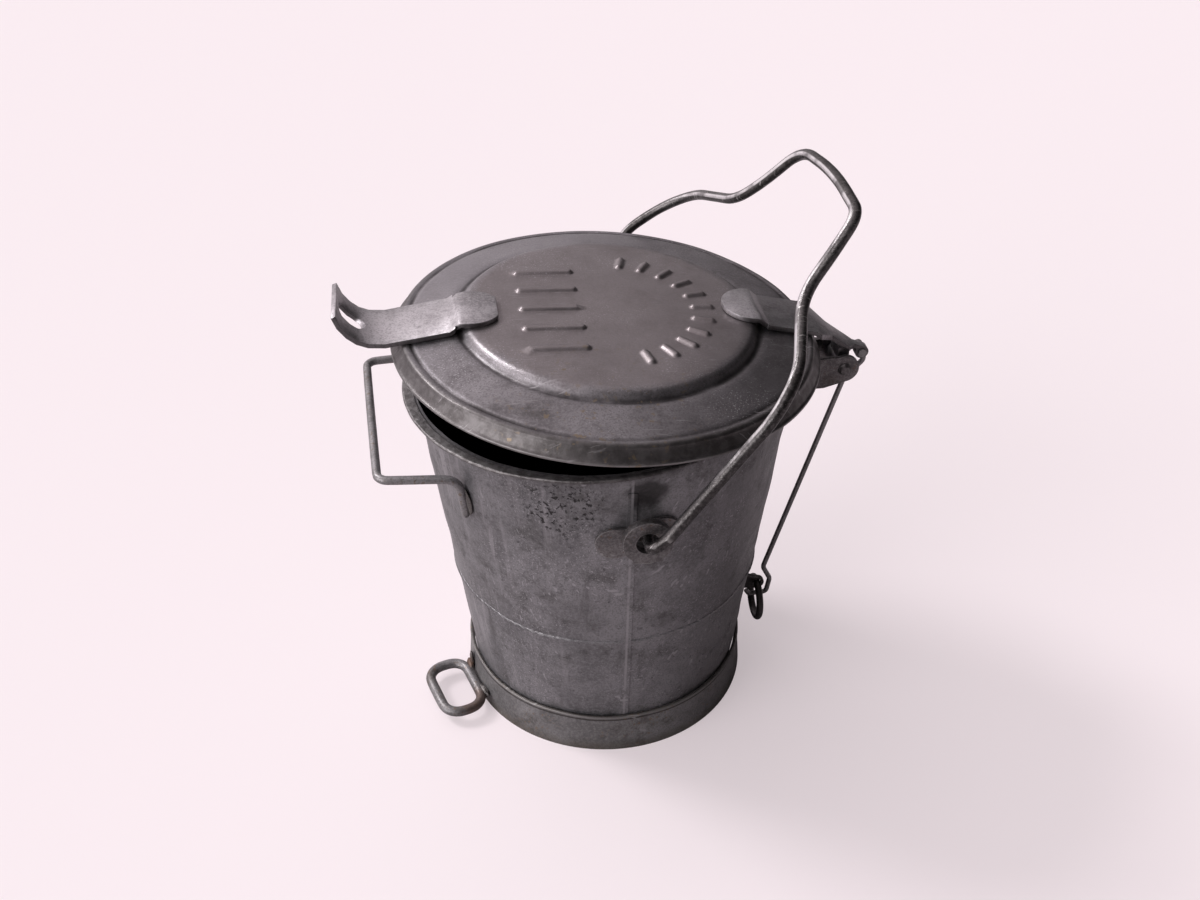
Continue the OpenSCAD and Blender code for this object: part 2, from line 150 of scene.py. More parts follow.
paper = bpy.data.materials.new("pink paper")
paper.use_nodes = True
tree = paper.node_tree
tree.nodes.clear()
paper_lit = add(tree, "ShaderNodeBsdfDiffuse", Color=paper_grey)
paper_glow = add(tree, "ShaderNodeEmission", Color=floor_pink)
feed(tree, paper_glow.inputs["Strength"], calc(
    tree, "MULTIPLY", add(tree, "ShaderNodeLightPath").outputs["Is Camera Ray"], paper_shine))
paper_mix = add(tree, "ShaderNodeAddShader")
for i, output in enumerate((paper_lit.outputs[0], paper_glow.outputs[0])):
    tree.links.new(output, paper_mix.inputs[i])
tree.links.new(paper_mix.outputs[0],
               add(tree, "ShaderNodeOutputMaterial").inputs["Surface"])
floor_mesh.materials.append(paper)

for name, power, spread, place in (
        ("high light", 1.7, 16, (-0.60, 0.38, 0.68)),
        ("side light", 1.75, 44, (-0.84, -0.46, 0.30))):
    lamp = bpy.data.lights.new(name, "SUN")
    lamp.energy = power
    lamp.angle = math.radians(spread)
    lamp.color = lamp_tint
    lamp_object = bpy.data.objects.new(name, lamp)
    lamp_object.rotation_euler = Vector(place).to_track_quat("Z", "Y").to_euler()
    bpy.context.scene.collection.objects.link(lamp_object)


# ---- Wall ----------------------------------------------------------------
# The wall is galvanised sheet rolled to a cone, lapped and soldered at two
# seams, with a flat collar and a swage line. It is knocked about all over,
# and the zinc has gone dark and blotched, with specks, streaks and pits.
# Light and shade are painted into its colour as well: the pale streaks are
# laid on the lit left, the right side is painted darker as shade, the inside
# is painted near black as shade, a band under the lid is painted shadow, and
# the swage crease and the collar lip are painted light or dark by side.

def new_group(name, inputs, outputs):
    """A shader node group with those sockets, and its two end nodes."""
    group = bpy.data.node_groups.new(name, "ShaderNodeTree")
    for way, sockets in (("INPUT", inputs), ("OUTPUT", outputs)):
        for label, kind, value in sockets:
            socket = group.interface.new_socket(
                label, in_out=way, socket_type="NodeSocket" + kind)
            if value is not None:
                socket.default_value = value
    return group, group.nodes.new("NodeGroupInput"), group.nodes.new("NodeGroupOutput")


def cloud(tree, at, scale, detail=4.0, rough=0.6):
    node = add(tree, "ShaderNodeTexNoise", Detail=detail, Roughness=rough)
    feed(tree, node.inputs["Vector"], at)
    feed(tree, node.inputs["Scale"], scale)
    return node.outputs["Fac"]


def tint(tree, share, under, over):
    """The colour over laid on the colour under by that share."""
    node = add(tree, "ShaderNodeMix", data_type="RGBA")
    for socket, v in ((node.inputs[0], share), (node.inputs[6], under),
                      (node.inputs[7], over)):
        feed(tree, socket, v)
    return node.outputs[2]


def squeezed(tree, at, x, y, z):
    node = add(tree, "ShaderNodeMapping", Scale=(x, y, z))
    tree.links.new(at, node.inputs["Vector"])
    return node.outputs[0]


# Old zinc: broad blotches, a mottled middle scale and fine grain.
old_zinc, given, made = new_group(
    "old zinc",
    [("Vector", "Vector", None), ("Pale", "Color", (0.2, 0.19, 0.2, 1)),
     ("Dark", "Color", (0.1, 0.094, 0.098, 1)), ("Grime", "Color", (0.04, 0.036, 0.032, 1)),
     ("Grime amount", "Float", 0.5), ("Gloss", "Float", 0.42)],
    [("Color", "Color", None), ("Roughness", "Float", None), ("Height", "Float", None)])
at = given.outputs["Vector"]
middle = cloud(old_zinc, at, 38.0, 6.0, 0.68)
grain = cloud(old_zinc, at, 300.0, 4.0, 0.7)
tone = calc(old_zinc, "ADD", calc(old_zinc, "MULTIPLY", cloud(old_zinc, at, 8.0, 3.0), 0.5),
            calc(old_zinc, "MULTIPLY", middle, 0.5))
colour = tint(old_zinc, ramp(old_zinc, tone, 0.41, 0.59), given.outputs["Dark"],
              given.outputs["Pale"])
colour = tint(old_zinc, calc(old_zinc, "MULTIPLY", ramp(old_zinc, grain, 0.42, 0.62), 0.65),
              colour, given.outputs["Pale"])
peppery = cloud(old_zinc, at, 520.0, 2.0, 0.6)
colour = tint(old_zinc, calc(old_zinc, "MULTIPLY", ramp(old_zinc, peppery, 0.50, 0.62), 0.6),
              colour, given.outputs["Dark"])
dirt = calc(old_zinc, "MULTIPLY", ramp(old_zinc, cloud(old_zinc, at, 24.0, 9.0, 0.75),
                                       0.50, 0.68), given.outputs["Grime amount"])
colour = tint(old_zinc, dirt, colour, given.outputs["Grime"])
rough = calc(old_zinc, "ADD", given.outputs["Gloss"],
             calc(old_zinc, "MULTIPLY", calc(old_zinc, "SUBTRACT", middle, 0.5), 0.5))
old_zinc.links.new(colour, made.inputs["Color"])
old_zinc.links.new(calc(old_zinc, "ADD", rough, calc(old_zinc, "MULTIPLY", dirt, 0.2)),
                   made.inputs["Roughness"])
old_zinc.links.new(calc(old_zinc, "ADD", calc(old_zinc, "MULTIPLY", grain, 0.4), middle),
                   made.inputs["Height"])

# Specks: small spots gathered in patches.
specks, given, made = new_group(
    "specks",
    [("Vector", "Vector", None), ("Scale", "Float", 400.0),
     ("Patch scale", "Float", 20.0), ("Amount", "Float", 0.5)],
    [("Mask", "Float", None)])
at = given.outputs["Vector"]
spots = ramp(specks, cloud(specks, at, given.outputs["Scale"], 2.0, 0.5), 0.60, 0.68)
patches = ramp(specks, cloud(specks, at, given.outputs["Patch scale"], 3.0), 0.42, 0.62)
specks.links.new(calc(specks, "MULTIPLY", calc(specks, "MULTIPLY", spots, patches),
                      given.outputs["Amount"]), made.inputs["Mask"])

# Scratches: fine lines in three directions, broken up by patches.
scratches, given, made = new_group(
    "scratches", [("Vector", "Vector", None), ("Amount", "Float", 0.5)],
    [("Mask", "Float", None)])
at = given.outputs["Vector"]
lines = 0.0
for turn, shift in ((0.5, 0.0), (-0.9, 3.7), (1.7, 8.1)):
    way = add(scratches, "ShaderNodeMapping", Location=(shift, shift, 0),
              Rotation=(0.4 * turn, 0.3, turn), Scale=(42, 560, 90))
    scratches.links.new(at, way.inputs["Vector"])
    line = ramp(scratches, cloud(scratches, way.outputs[0], 1.0, 1.0, 0.4), 0.70, 0.75)
    lines = calc(scratches, "MAXIMUM", lines, line)
broken = ramp(scratches, cloud(scratches, at, 16.0, 2.0), 0.46, 0.60)
scratches.links.new(calc(scratches, "MULTIPLY", calc(scratches, "MULTIPLY", lines, broken),
                         given.outputs["Amount"]), made.inputs["Mask"])

# Worn edges: bright where two faces meet at a corner.
worn_edges, given, made = new_group(
    "worn edges", [("Vector", "Vector", None), ("Amount", "Float", 0.5)],
    [("Mask", "Float", None)])
rounding = add(worn_edges, "ShaderNodeBevel", samples=4)
rounding.inputs["Radius"].default_value = 1.6 * MM
apart = add(worn_edges, "ShaderNodeVectorMath", operation="DOT_PRODUCT")
worn_edges.links.new(rounding.outputs["Normal"], apart.inputs[0])
worn_edges.links.new(add(worn_edges, "ShaderNodeNewGeometry").outputs["Normal"],
                     apart.inputs[1])
edge = ramp(worn_edges, apart.outputs["Value"], 0.995, 0.93)
patchy = ramp(worn_edges, cloud(worn_edges, given.outputs["Vector"], 90.0), 0.38, 0.60)
worn_edges.links.new(calc(worn_edges, "MULTIPLY", calc(worn_edges, "MULTIPLY", edge, patchy),
                          given.outputs["Amount"]), made.inputs["Mask"])


def lay(tree, group, at, **values):
    """That group's node on the piece, with its own values."""
    node = add(tree, "ShaderNodeGroup", node_tree=group)
    tree.links.new(at, node.inputs["Vector"])
    for name, value in values.items():
        feed(tree, node.inputs[name.replace("_", " ")], value)
    return node


def new_finish(name, metallic):
    """A material, its nodes, its Principled shader and the place on the piece."""
    finish = bpy.data.materials.new(name)
    finish.use_nodes = True
    tree = finish.node_tree
    shader = tree.nodes["Principled BSDF"]
    shader.inputs["Metallic"].default_value = metallic
    return finish, tree, shader, add(tree, "ShaderNodeTexCoord").outputs["Object"]


def close_finish(tree, shader, colour, rough, height, depth):
    tree.links.new(colour, shader.inputs["Base Color"])
    tree.links.new(rough, shader.inputs["Roughness"])
    bump = add(tree, "ShaderNodeBump", Strength=1.0, Distance=depth)
    tree.links.new(height, bump.inputs["Height"])
    tree.links.new(bump.outputs["Normal"], shader.inputs["Normal"])


def axes(tree, at):
    node = add(tree, "ShaderNodeSeparateXYZ")
    tree.links.new(at, node.inputs[0])
    return node.outputs


def patch_at(tree, at, centre, size, soft=0.6):
    """1 at that centre and 0 beyond that size, with a ragged edge."""
    node = add(tree, "ShaderNodeVectorMath", operation="DISTANCE")
    tree.links.new(at, node.inputs[0])
    node.inputs[1].default_value = centre
    ragged = calc(tree, "MULTIPLY", calc(tree, "SUBTRACT", cloud(tree, at, 55.0), 0.5),
                  size * 1.4)
    return ramp(tree, calc(tree, "ADD", node.outputs["Value"], ragged),
                size * soft, size * 1.2, 1.0, 0.0)


def welded_copy(name):
    """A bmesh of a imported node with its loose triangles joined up."""
    bm = bmesh.new()
    bm.from_mesh(nodes[name].data)
    bmesh.ops.remove_doubles(bm, verts=bm.verts, dist=0.003 * MM)
    return bm


def show(bm, name, finish, body, stands_for, sharp=math.radians(32)):
    """Makes the bmesh a piece on that body, smooth but for its sharp edges."""
    for face in bm.faces:
        face.smooth = True
    for edge in bm.edges:
        if len(edge.link_faces) == 2 and edge.calc_face_angle(0.0) > sharp:
            edge.smooth = False
    mesh = bpy.data.meshes.new(name)
    bm.to_mesh(mesh)
    bm.free()
    mesh.materials.append(finish)
    piece = bpy.data.objects.new(name, mesh)
    bpy.context.scene.collection.objects.link(piece)
    if stands_for:
        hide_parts(stands_for)
    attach(piece, body)
    return piece


def sliced(bm, heights, angles):
    """Cuts all faces at those heights and along those planes through the axis."""
    planes = [((0, 0, z), (0, 0, 1)) for z in heights]
    planes += [((0, 0, 0), (math.sin(a), -math.cos(a), 0)) for a in angles]
    for place, normal in planes:
        bmesh.ops.bisect_plane(bm, geom=bm.verts[:] + bm.edges[:] + bm.faces[:],
                               dist=0.02 * MM, plane_co=place, plane_no=normal)


def knocked(bm, size, depth, seed, low=0.0):
    """Pushes the sheet in and out by soft dents of that size and depth."""
    for vert in bm.verts:
        outward = Vector((vert.co.x, vert.co.y, 0.0))
        if outward.length > 1 * MM and vert.co.z > low:
            dent = noise.noise(vert.co / size + Vector((seed, 0, 0)))
            small = noise.noise(vert.co / (size * 0.35) + Vector((0, seed, 0)))
            vert.co += outward.normalized() * depth * (min(dent, 0.25) + 0.3 * small)


wall_flare = 0.1188
wall_foot_r = 142.4 * MM
mouth_slope = math.tan(math.radians(4.5))
mouth_h = 398.5 * MM
swage_z = 166 * MM
dent_size, dent_depth = 62 * MM, 1.7 * MM
dents_from = 52 * MM  # the foot hoop keeps the wall round below this
pitted_at, smudged_at = (-0.062, -0.172, 0.352), (0.014, -0.187, 0.372)
slice_turns = [math.radians(4) * k for k in range(45)]

wall_zinc, tree, shader, at = new_finish("wall zinc", 0.6)
base = lay(tree, old_zinc, at, Pale=(0.262, 0.253, 0.265, 1), Dark=(0.134, 0.130, 0.136, 1),
           Grime_amount=0.55, Gloss=0.42)
x, y, z = axes(tree, at)
streaks = ramp(tree, cloud(tree, squeezed(tree, at, 75, 75, 2.6), 1.0), 0.53, 0.70)
# Painted highlight: the pale streaks are partly real, but they are laid on only the lit left
# side, strongest at the far left.
left = ramp(tree, x, 0.02, -0.14)
colour = tint(tree, calc(tree, "MULTIPLY", streaks, calc(tree, "MULTIPLY", left, 0.75)),
              base.outputs["Color"], (0.35, 0.333, 0.35, 1))
runs = ramp(tree, cloud(tree, squeezed(tree, at, 50, 50, 4), 1.3, 6.0), 0.56, 0.72)
colour = tint(tree, calc(tree, "MULTIPLY", runs, 0.45), colour, (0.050, 0.046, 0.046, 1))
# Painted shade: the wall is darkened toward the right, away from the light.
right_shade = ramp(tree, calc(tree, "ADD", x, calc(tree, "MULTIPLY", cloud(tree, at, 14.0), 0.05)),
             0.06, 0.17)
colour = tint(tree, calc(tree, "MULTIPLY", right_shade, 0.50), colour, (0.058, 0.054, 0.057, 1))
pale_specks = lay(tree, specks, at, Scale=560.0, Patch_scale=14.0, Amount=0.75)
colour = tint(tree, pale_specks.outputs["Mask"], colour, (0.44, 0.42, 0.44, 1))
marks = lay(tree, scratches, at, Amount=0.8)
colour = tint(tree, marks.outputs["Mask"], colour, (0.38, 0.365, 0.385, 1))
pit_place = patch_at(tree, at, pitted_at, 40 * MM)
pits = calc(tree, "MULTIPLY", ramp(tree, cloud(tree, at, 210.0, 3.0), 0.55, 0.62), pit_place)
stray = lay(tree, specks, at, Scale=150.0, Patch_scale=30.0, Amount=0.6)
pits = calc(tree, "MAXIMUM", pits, calc(tree, "MULTIPLY", stray.outputs["Mask"], 0.7))
colour = tint(tree, calc(tree, "MULTIPLY", pits, 0.9), colour, (0.016, 0.014, 0.014, 1))
smudge = patch_at(tree, at, smudged_at, 20 * MM)
colour = tint(tree, calc(tree, "MULTIPLY", smudge, 0.8), colour, (0.024, 0.021, 0.021, 1))
seam_line = calc(tree, "MULTIPLY", ramp(
    tree, calc(tree, "ABSOLUTE", x), 0.0006, 0.0018, 1.0, 0.0),
    ramp(tree, cloud(tree, at, 40.0), 0.36, 0.50))
colour = tint(tree, calc(tree, "MULTIPLY", seam_line, 0.65), colour, (0.36, 0.345, 0.36, 1))
ridge = calc(tree, "ABSOLUTE", calc(tree, "SUBTRACT", z, swage_z))
crease = calc(tree, "MULTIPLY", ramp(tree, ridge, 0.0005, 0.0022, 1.0, 0.0),
              ramp(tree, cloud(tree, at, 14.0), 0.45, 0.58))
# Painted light and shade on the swage crease: dark on the left, pale toward the right, by how
# the light falls across it.
colour = tint(tree, calc(tree, "MULTIPLY", crease, 0.7), colour, tint(
    tree, ramp(tree, left, 0.1, 0.6), (0.31, 0.295, 0.30, 1), (0.085, 0.080, 0.084, 1)))
far_out = calc(tree, "SQRT", calc(tree, "ADD", calc(tree, "MULTIPLY", x, x),
                                  calc(tree, "MULTIPLY", y, y)))
off_wall = calc(tree, "SUBTRACT", calc(tree, "SUBTRACT", far_out, wall_foot_r),
                calc(tree, "MULTIPLY", z, wall_flare))
outward = add(tree, "ShaderNodeVectorMath", operation="DOT_PRODUCT")
tree.links.new(at, outward.inputs[0])
tree.links.new(add(tree, "ShaderNodeTexCoord").outputs["Normal"], outward.inputs[1])
# Painted shade: faces that turn inward, inside the mouth and under the collar, are painted near
# black.
inside = ramp(tree, outward.outputs["Value"], -0.02, 0.0, 1.0, 0.0)
inside_shade = tint(tree, cloud(tree, at, 30.0, 6.0), (0.006, 0.005, 0.005, 1), (0.030, 0.026, 0.024, 1))
colour = tint(tree, calc(tree, "MULTIPLY", inside, 0.95), colour, inside_shade)
under_mouth = calc(tree, "SUBTRACT", calc(tree, "ADD", mouth_h,
                   calc(tree, "MULTIPLY", x, mouth_slope)), z)
lip = calc(tree, "MULTIPLY", ramp(tree, under_mouth, 0.004, 0.006, 1.0, 0.0),
           ramp(tree, off_wall, 0.0005, 0.002))
# The collar lip is ragged in its own right, and it is also painted lighter on the lit left and
# darker on the right, as light and shade.
rough_lip = tint(tree, ramp(tree, cloud(tree, at, 130.0, 6.0), 0.42, 0.58),
                 tint(tree, left, (0.035, 0.031, 0.030, 1), (0.150, 0.138, 0.135, 1)),
                 tint(tree, left, (0.20, 0.187, 0.183, 1), (0.30, 0.284, 0.284, 1)))
colour = tint(tree, calc(tree, "MULTIPLY", lip, 0.75), colour, rough_lip)
# Painted shadow: a dark band on the wall just under the mouth, where the lid's skirt shades it,
# heavier on the right.
under_lid_shadow = calc(tree, "MULTIPLY", ramp(tree, calc(tree, "ADD", under_mouth, calc(
    tree, "MULTIPLY", cloud(tree, at, 35.0), 0.02)), 0.008, 0.032, 1.0, 0.0),
                 ramp(tree, left, 0.0, 1.0, 0.65, 0.35))
colour = tint(tree, under_lid_shadow, colour, (0.030, 0.026, 0.026, 1))
height = calc(tree, "SUBTRACT", base.outputs["Height"], calc(tree, "MULTIPLY", pits, 2.0))
height = calc(tree, "ADD", height, calc(tree, "MULTIPLY", calc(
    tree, "MULTIPLY", lip, cloud(tree, at, 130.0, 6.0)), 3.0))
close_finish(tree, shader, colour, base.outputs["Roughness"], height, 0.35 * MM)

bm = welded_copy("body_shell")
sliced(bm, [k * 9 * MM for k in range(2, 43)], slice_turns)
knocked(bm, dent_size, dent_depth, seed=4.0, low=dents_from)
show(bm, "wall", wall_zinc, "bucket", "body_shell")


# ---- Bottom and foot ring ------------------------------------------------
# The bottom is a dished plate and the foot is a stout hoop round the wall.
# Both have stood in the wet, so they are darker, with olive-brown dirt.
# The hoop's bead has a painted highlight on its crest and painted shade in
# the groove under it.

groove_z, bead_z = 41.8 * MM, 45.2 * MM

foot_steel, tree, shader, at = new_finish("foot steel", 0.42)
base = lay(tree, old_zinc, at, Pale=(0.235, 0.226, 0.230, 1), Dark=(0.122, 0.117, 0.118, 1),
           Grime=(0.046, 0.038, 0.030, 1), Grime_amount=0.65, Gloss=0.44)
z = axes(tree, at)["Z"]
low = ramp(tree, calc(tree, "ADD", z, calc(tree, "MULTIPLY", cloud(tree, at, 50.0), 0.014)),
           0.006, 0.022, 0.6, 0.0)
colour = tint(tree, low, base.outputs["Color"], (0.088, 0.074, 0.056, 1))
top = ramp(tree, calc(tree, "ADD", z, calc(tree, "MULTIPLY", cloud(tree, at, 70.0), 0.006)),
           0.043, 0.050, 0.0, 0.7)
colour = tint(tree, top, colour, (0.045, 0.037, 0.030, 1))
# Painted shade: a dark line in the groove under the bead.
under_bead_shade = ramp(tree, calc(tree, "ABSOLUTE", calc(tree, "SUBTRACT", z, groove_z)),
                 0.0004, 0.0014, 1.0, 0.0)
colour = tint(tree, calc(tree, "MULTIPLY", under_bead_shade, 0.8), colour, (0.028, 0.024, 0.022, 1))
# Painted highlight: a pale line along the crest of the bead.
bead_highlight = ramp(tree, calc(tree, "ABSOLUTE", calc(tree, "SUBTRACT", z, bead_z)),
                0.0006, 0.0018, 1.0, 0.0)
colour = tint(tree, calc(tree, "MULTIPLY", bead_highlight, 0.7), colour, (0.235, 0.222, 0.220, 1))
flakes = lay(tree, specks, at, Scale=300.0, Patch_scale=25.0, Amount=0.7)
colour = tint(tree, flakes.outputs["Mask"], colour, (0.17, 0.110, 0.065, 1))
marks = lay(tree, scratches, at, Amount=0.6)
colour = tint(tree, marks.outputs["Mask"], colour, (0.32, 0.31, 0.31, 1))
close_finish(tree, shader, colour, base.outputs["Roughness"], base.outputs["Height"],
             0.5 * MM)

bm = welded_copy("foot_ring")
sliced(bm, [k * 8 * MM for k in range(1, 6)], slice_turns)
knocked(bm, size=45 * MM, depth=0.8 * MM, seed=9.0)
show(bm, "foot_hoop", foot_steel, "bucket", "foot_ring")
show(welded_copy("bottom_plate"), "bottom", foot_steel, "bucket", "bottom_plate")


# ---- Forged fittings -----------------------------------------------------
# Ears, hinge ears, pin, ring and bracket are forged mild steel with worn
# edges and traces of rust. They are grey above and nearly black at the ring.

forged, tree, shader, at = new_finish("forged steel", 0.7)
base = lay(tree, old_zinc, at, Pale=(0.215, 0.202, 0.204, 1), Dark=(0.088, 0.082, 0.083, 1),
           Grime=(0.050, 0.034, 0.024, 1), Grime_amount=0.55, Gloss=0.42)
rust = lay(tree, specks, at, Scale=260.0, Patch_scale=45.0, Amount=0.6)
colour = tint(tree, rust.outputs["Mask"], base.outputs["Color"], (0.13, 0.070, 0.036, 1))
colour = tint(tree, ramp(tree, axes(tree, at)["Z"], 0.21, 0.27, 0.75, 0.0), colour,
              (0.036, 0.032, 0.031, 1))
marks = lay(tree, scratches, at, Amount=0.7)
colour = tint(tree, marks.outputs["Mask"], colour, (0.34, 0.33, 0.33, 1))
edges = lay(tree, worn_edges, at, Amount=0.8)
colour = tint(tree, edges.outputs["Mask"], colour, (0.38, 0.365, 0.365, 1))
close_finish(tree, shader, colour, base.outputs["Roughness"], base.outputs["Height"],
             0.6 * MM)


def eased(bm, width, least=math.radians(35)):
    """Rounds the sharp edges by that width in two steps."""
    bmesh.ops.dissolve_limit(bm, angle_limit=math.radians(0.4), verts=bm.verts,
                             edges=bm.edges)
    corners = [e for e in bm.edges
               if len(e.link_faces) == 2 and e.calc_face_angle(0.0) > least]
    bmesh.ops.bevel(bm, geom=corners, offset=width, offset_type="OFFSET", affect="EDGES",
                    segments=2, profile=0.5, material=-1, clamp_overlap=True)
    bmesh.ops.triangulate(bm, faces=[f for f in bm.faces if len(f.verts) > 4])


for name, width in (("bail_ear_near", 0.8), ("bail_ear_far", 0.8), ("hinge_ear_near", 0.7),
                    ("hinge_ear_far", 0.7), ("hinge_pin", 0.4), ("ring_bracket", 0.6)):
    bm = welded_copy(name)
    eased(bm, width * MM)
    show(bm, name + "_forged", forged, "bucket", name)
show(welded_copy("pull_ring"), "pull_link", forged, "ring", "pull_ring")

# ---- Rod -----------------------------------------------------------------
# The pull rod is drawn wire, pinned at the top and bent to a hook at the
# foot. It is plain mid grey, with a little brown in the dirt.

rod_steel, tree, shader, at = new_finish("rod steel", 0.6)
base = lay(tree, old_zinc, at, Pale=(0.300, 0.286, 0.290, 1), Dark=(0.175, 0.165, 0.166, 1),
           Grime=(0.075, 0.060, 0.050, 1), Grime_amount=0.5, Gloss=0.40)
close_finish(tree, shader, base.outputs["Color"], base.outputs["Roughness"],
             base.outputs["Height"], 0.3 * MM)
show(welded_copy("pull_rod"), "pull_wire", rod_steel, "rod", "pull_rod",
     sharp=math.radians(45))


# ---- Bail ----------------------------------------------------------------
# The bail is one length of round bar, bent hot to a hooked grip and pulled
# out of true. It is black but for a pale line on the side that faces the
# light, partly rubbed wear and partly painted highlight.

bail_steel, tree, shader, at = new_finish("bail steel", 0.8)
base = lay(tree, old_zinc, at, Pale=(0.120, 0.112, 0.112, 1), Dark=(0.034, 0.031, 0.031, 1),
           Grime=(0.022, 0.019, 0.017, 1), Grime_amount=0.7, Gloss=0.30)
marks = lay(tree, scratches, at, Amount=0.9)
colour = tint(tree, marks.outputs["Mask"], base.outputs["Color"], (0.40, 0.385, 0.38, 1))
# Painted highlight: a pale line on the faces that turn toward the light, broken into patches
# like rubbed wear and strongest high up.
painted_light = add(tree, "ShaderNodeVectorMath", operation="DOT_PRODUCT")
tree.links.new(add(tree, "ShaderNodeTexCoord").outputs["Normal"], painted_light.inputs[0])
painted_light.inputs[1].default_value = (-0.90, -0.10, 0.42)
worn = calc(tree, "MULTIPLY", ramp(tree, cloud(tree, at, 26.0, 4.0), 0.38, 0.52, 0.25, 1.0),
            ramp(tree, axes(tree, at)["Z"], 0.385, 0.425, 0.10, 1.0))
bright = calc(tree, "MULTIPLY", ramp(tree, painted_light.outputs["Value"], 0.88, 0.975), worn)
colour = tint(tree, bright, colour, (0.62, 0.60, 0.61, 1))
close_finish(tree, shader, colour, base.outputs["Roughness"], base.outputs["Height"],
             0.5 * MM)


def bent_bar(points, most, half_wide, half_thick, sides=18, steps=9, spacing=6 * MM):
    """A bar of oval section swept along the points, with every corner eased."""
    path = [points[0]]
    for a, b, c in zip(points, points[1:], points[2:]):
        reach = min(most, 0.47 * (a - b).length, 0.47 * (c - b).length)
        start, end = b + (a - b).normalized() * reach, b + (c - b).normalized() * reach
        way = start - path[-1]
        path += [path[-1] + way * k / (n + 1) for n in [int(way.length / spacing)]
                 for k in range(1, n + 1)]
        path += [start.lerp(b, k / steps).lerp(b.lerp(end, k / steps), k / steps)
                 for k in range(steps + 1)]
    path.append(points[-1])
    bm = bmesh.new()
    rings, side = [], Vector((1, 0, 0))
    for before, place, after in zip([path[0]] + path, path, path[1:] + [path[-1]]):
        normal = (after - before).normalized().cross(side).normalized()
        side = normal.cross(after - before).normalized()
        uneven = 1 + 0.03 * noise.noise(place / (24 * MM))
        rings.append([bm.verts.new(place + uneven * (
            side * math.cos(turn) * half_thick + normal * math.sin(turn) * half_wide))
            for turn in (math.tau * k / sides for k in range(sides))])
    for low, high in zip(rings, rings[1:]):
        for k in range(sides):
            bm.faces.new((low[k], low[k - 1], high[k - 1], high[k]))
    bm.faces.new(rings[0])
    bm.faces.new(rings[-1])
    bmesh.ops.recalc_face_normals(bm, faces=bm.faces)
    return bm


bail_lean = math.radians(35.8)
pivot_x, pivot_z, arm_y = 12.3, 327.0, 214.05  # millimetres
hook_y = arm_y - 24
corner_reach, bar_half_wide, bar_half_thick = 60 * MM, 5.7 * MM, 5.2 * MM


def on_bail(y, up, forward=0.0):
    """A place on the bail: y across, so far up its plane and forward of it."""
    return Vector((pivot_x + 7 + up * math.sin(bail_lean) - forward * math.cos(bail_lean), y,
                   pivot_z + up * math.cos(bail_lean) + forward * math.sin(bail_lean))) * MM


route = [Vector((pivot_x, -hook_y, pivot_z)) * MM, Vector((pivot_x, -arm_y, pivot_z)) * MM]
route += [on_bail(*place) for place in (
    (-arm_y, 14), (-arm_y, 168), (18 - arm_y, 206), (-118, 240), (-109, 290), (-100, 324),
    (-20, 326), (58, 312), (79, 262), (104, 224), (hook_y, 184), (arm_y - 1, 146, 12),
    (arm_y, 92, 32), (arm_y, 14))]
route += [Vector((pivot_x, arm_y, pivot_z)) * MM, Vector((pivot_x, hook_y, pivot_z)) * MM]
show(bent_bar(route, corner_reach, bar_half_wide, bar_half_thick), "bail_bar", bail_steel,
     "bail", "bail")


# ---- Lid -----------------------------------------------------------------
# The lid is spun and pressed from one sheet: a skirt with a rolled hem, a
# shallow cone, a step and a raised middle with bars and ribs pressed in it.

sheet = 1.4 * MM
tan_at, stained_at = (-0.03, -0.165, 0.425), (0.045, -0.075, 0.434)
hem_r, shoulder_r, plateau_r, cone_r = 210 * MM, 200.5 * MM, 140 * MM, 147 * MM
skirt_h, cone_h, step_h, dome = 17.5 * MM, 9 * MM, 8 * MM, 3 * MM
hinge_at = Vector((0.242, 0, 0.376))
lid_place = (
    Matrix.Translation(hinge_at) @ Matrix.Rotation(math.radians(8.3), 4, "Y")
    @ Matrix.Translation(-hinge_at) @ Matrix.Translation((0, 0, mouth_h))
    @ Matrix.Rotation(math.radians(-4.5), 4, "Y")
    @ Matrix.Translation((-2 * MM, 0, 2.2 * MM))
)

lid_zinc, tree, shader, at = new_finish("lid zinc", 0.8)
base = lay(tree, old_zinc, at, Pale=(0.262, 0.247, 0.259, 1), Dark=(0.142, 0.133, 0.139, 1),
           Grime=(0.055, 0.047, 0.045, 1), Grime_amount=0.5, Gloss=0.40)
x, y = axes(tree, at)[:2]
centre = lid_place @ Vector((0, 0, cone_h + step_h))
from_middle = add(tree, "ShaderNodeVectorMath", operation="DISTANCE")
tree.links.new(at, from_middle.inputs[0])
from_middle.inputs[1].default_value = centre
away = from_middle.outputs["Value"]
ragged = calc(tree, "ADD", away, calc(tree, "MULTIPLY", calc(
    tree, "SUBTRACT", cloud(tree, at, 45.0, 6.0), 0.5), 0.022))
middle = ramp(tree, ragged, plateau_r - 0.010, plateau_r + 0.004, 1.0, 0.0)
brownish = tint(tree, cloud(tree, at, 18.0, 6.0), (0.188, 0.163, 0.164, 1),
                (0.298, 0.264, 0.266, 1))
colour = tint(tree, calc(tree, "MULTIPLY", middle, 0.65), base.outputs["Color"], brownish)
# Painted light: outside the raised middle the lid is painted paler toward the back left, the
# side the light comes from.
painted_light = calc(tree, "MULTIPLY", ramp(tree, calc(tree, "SUBTRACT", calc(
    tree, "MULTIPLY", y, 1.0), x), 0.02, 0.20), calc(tree, "SUBTRACT", 1.0, middle))
colour = tint(tree, calc(tree, "MULTIPLY", painted_light, 0.5), colour, (0.33, 0.315, 0.335, 1))
